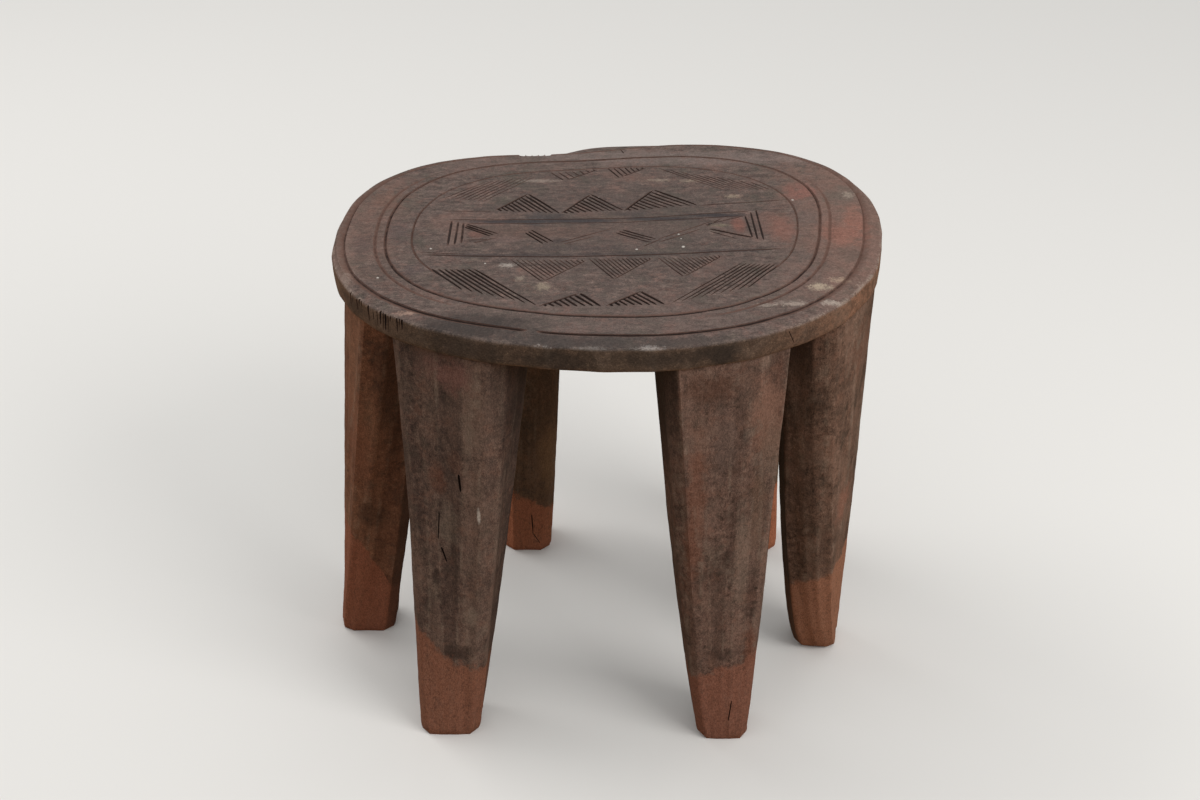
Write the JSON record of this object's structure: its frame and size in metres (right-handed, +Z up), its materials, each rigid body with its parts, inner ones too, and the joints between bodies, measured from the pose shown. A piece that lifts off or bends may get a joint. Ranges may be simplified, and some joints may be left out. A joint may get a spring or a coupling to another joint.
{
  "type": "carved low table",
  "caption": "Oval low table or stool hewn from hardwood, with ring grooves and rows of hatched triangles cut into its top, on tapering hewn legs.",
  "frame": {"origin": "on the floor, under the middle of the whole table's box", "axes": "+Z up, -Y towards the viewer of the front, +X to the viewer's right along the long way of the top"},
  "size_m": [0.4878, 0.377, 0.414],
  "materials": {
    "top_wood": "matte, worn and dusty grey-brown end face of a dense hardwood, darker in the cuts",
    "leg_wood": "hewn facets, sooty grey-brown above and reddish brown at the feet"
  },
  "bodies": {
    "root": {"top": "top_wood", "leg_front_left": "leg_wood", "leg_front_right": "leg_wood", "leg_left": "leg_wood", "leg_right": "leg_wood", "leg_back_left": "leg_wood", "leg_back_right": "leg_wood"}
  },
  "joints": []
}
